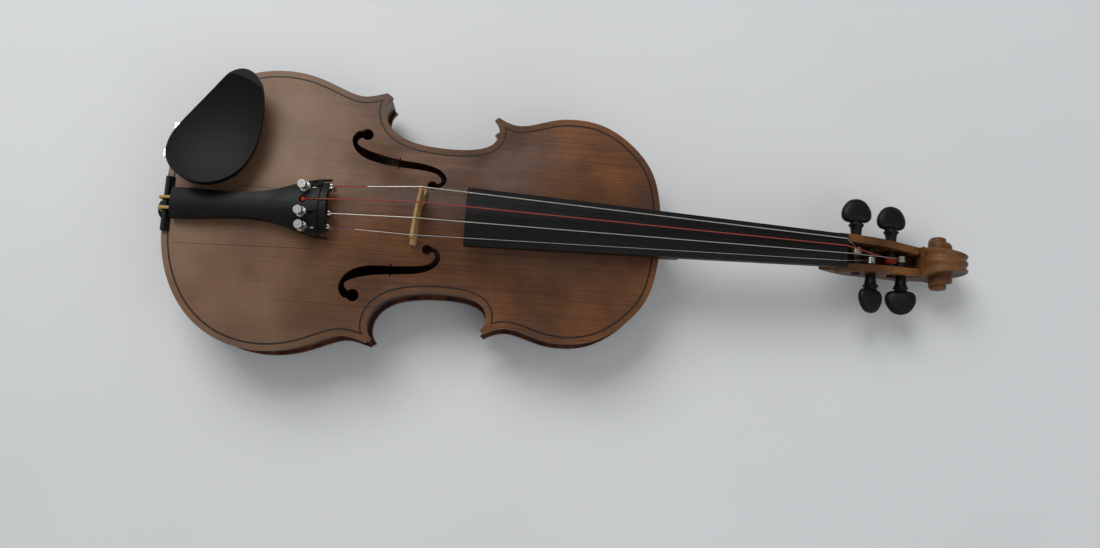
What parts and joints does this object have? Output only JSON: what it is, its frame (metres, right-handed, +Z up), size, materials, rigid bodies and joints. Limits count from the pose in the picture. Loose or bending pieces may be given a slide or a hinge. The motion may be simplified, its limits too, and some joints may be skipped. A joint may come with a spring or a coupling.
{
  "type": "violin",
  "caption": "Full-size violin with arched plates, hollow body, scroll, turning pegs, fine tuners, tailpiece, bridge, strings and a clamped chinrest.",
  "frame": {"origin": "on the table under the middle of the violin lying on its back", "axes": "+X along the violin from the tail end to the scroll, +Y towards the bass side, +Z up out of the front"},
  "size_m": [0.605, 0.205, 0.0844],
  "materials": {
    "spruce_varnished": "gloss",
    "maple_varnished": "gloss",
    "maple_plain": "satin",
    "maple_neck": "satin",
    "spruce_plain": "matte",
    "purfling": "satin",
    "ebony": "satin",
    "fret_ebony": "satin",
    "nickel": "polished",
    "string_silver": "satin",
    "string_steel": "polished",
    "silk_red": "matte",
    "knot_red": "matte",
    "gut": "satin",
    "chinrest_black": "satin",
    "cork": "matte",
    "string_red": "satin"
  },
  "bodies": {
    "violin": {"back_bass": "maple_varnished", "back_treble": "maple_varnished", "bass_bar": "spruce_plain", "block_lower": "spruce_plain", "block_upper": "spruce_plain", "blocks_corner": "spruce_plain", "bridge": "maple_plain", "chinrest_cork": "cork", "chinrest_cup": "chinrest_black", "chinrest_studs": "nickel", "end_button": "ebony", "fingerboard": "ebony", "front_bass": "spruce_varnished", "front_treble": "spruce_varnished", "linings_back": "spruce_plain", "linings_front": "spruce_plain", "neck": "maple_neck", "nut": "ebony", "purfling_back": "purfling", "purfling_front": "purfling", "rib_lower_bass": "maple_varnished", "rib_lower_treble": "maple_varnished", "rib_upper_bass": "maple_varnished", "rib_upper_treble": "maple_varnished", "rib_waist_bass": "maple_varnished", "rib_waist_treble": "maple_varnished", "saddle": "ebony", "sound_post": "spruce_plain", "string_a": "string_silver", "string_d": "string_red", "string_e": "string_steel", "string_g": "string_silver", "string_knot_d": "knot_red", "tailgut": "gut", "tailpiece": "ebony", "tailpiece_fret": "fret_ebony", "tuner_bracket_a": "nickel", "tuner_bracket_e": "nickel", "tuner_bracket_g": "nickel", "tuner_collars": "nickel"},
    "peg_g_body": {"peg_g": "ebony", "winding_g": "string_silver"},
    "peg_d_body": {"peg_d": "ebony", "winding_d": "silk_red"},
    "peg_a_body": {"peg_a": "ebony", "winding_a": "string_silver"},
    "peg_e_body": {"peg_e": "ebony", "winding_e": "string_steel"},
    "tuner_screw_g_body": {"tuner_screw_g": "nickel"},
    "tuner_lever_g_body": {"tuner_lever_g": "nickel"},
    "tuner_screw_a_body": {"tuner_screw_a": "nickel"},
    "tuner_lever_a_body": {"tuner_lever_a": "nickel"},
    "tuner_screw_e_body": {"tuner_screw_e": "nickel"},
    "tuner_lever_e_body": {"tuner_lever_e": "nickel"},
    "chinrest_foot_body": {"chinrest_foot": "nickel", "chinrest_foot_cork": "cork"},
    "chinrest_barrel_inner_body": {"chinrest_barrel_inner": "nickel"},
    "chinrest_barrel_outer_body": {"chinrest_barrel_outer": "nickel"}
  },
  "joints": [
    {"name": "peg_g_turn", "type": "hinge", "parent": "violin", "child": "peg_g_body", "pos_m": [0.2124, 0, 0.037], "axis": [0, 1, 0], "continuous": true},
    {"name": "peg_d_turn", "type": "hinge", "parent": "violin", "child": "peg_d_body", "pos_m": [0.2424, 0, 0.029], "axis": [0, 1, 0], "continuous": true},
    {"name": "peg_a_turn", "type": "hinge", "parent": "violin", "child": "peg_a_body", "pos_m": [0.2509, 0, 0.027], "axis": [0, -1, 0], "continuous": true},
    {"name": "peg_e_turn", "type": "hinge", "parent": "violin", "child": "peg_e_body", "pos_m": [0.2249, 0, 0.034], "axis": [0, -1, 0], "continuous": true},
    {"name": "tuner_g_screw", "type": "slide", "parent": "violin", "child": "tuner_screw_g_body", "axis": [0.1593, 0.0014, -0.9872], "range_m": [-0.0012, 0.0016]},
    {"name": "tuner_g_lever", "type": "hinge", "parent": "violin", "child": "tuner_lever_g_body", "pos_m": [-0.18102, 0.0122, 0.06563], "axis": [0.009, -1, 0], "range_deg": [-7.7, 10.25]},
    {"name": "tuner_a_screw", "type": "slide", "parent": "violin", "child": "tuner_screw_a_body", "axis": [0.1593, 0.0014, -0.9872], "range_m": [-0.0012, 0.0016]},
    {"name": "tuner_a_lever", "type": "hinge", "parent": "violin", "child": "tuner_lever_a_body", "pos_m": [-0.18085, -0.0068, 0.06563], "axis": [0.009, -1, 0], "range_deg": [-7.7, 10.25]},
    {"name": "tuner_e_screw", "type": "slide", "parent": "violin", "child": "tuner_screw_e_body", "axis": [0.1593, 0.0014, -0.9872], "range_m": [-0.0012, 0.0016]},
    {"name": "tuner_e_lever", "type": "hinge", "parent": "violin", "child": "tuner_lever_e_body", "pos_m": [-0.18076, -0.0163, 0.06563], "axis": [0.009, -1, 0], "range_deg": [-7.7, 10.25]},
    {"name": "chinrest_clamp", "type": "slide", "parent": "violin", "child": "chinrest_foot_body", "axis": [0, 0, -1], "range_m": [0, 0.005]},
    {"name": "chinrest_barrel_inner_turn", "type": "hinge", "parent": "violin", "child": "chinrest_barrel_inner_body", "pos_m": [-0.29389, 0.033, 0.032], "axis": [0, 0, 1], "range_deg": [0, 1290]},
    {"name": "chinrest_barrel_outer_turn", "type": "hinge", "parent": "violin", "child": "chinrest_barrel_outer_body", "pos_m": [-0.28848, 0.053, 0.032], "axis": [0, 0, 1], "range_deg": [0, 1290]}
  ],
  "couplings": [
    {"joint": "tuner_g_lever", "follows": "tuner_g_screw", "rad_per_m": 111.1},
    {"joint": "tuner_a_lever", "follows": "tuner_a_screw", "rad_per_m": 111.1},
    {"joint": "tuner_e_lever", "follows": "tuner_e_screw", "rad_per_m": 111.1},
    {"joint": "chinrest_barrel_inner_turn", "follows": "chinrest_clamp", "rad_per_m": 4488},
    {"joint": "chinrest_barrel_outer_turn", "follows": "chinrest_clamp", "rad_per_m": 4488}
  ]
}
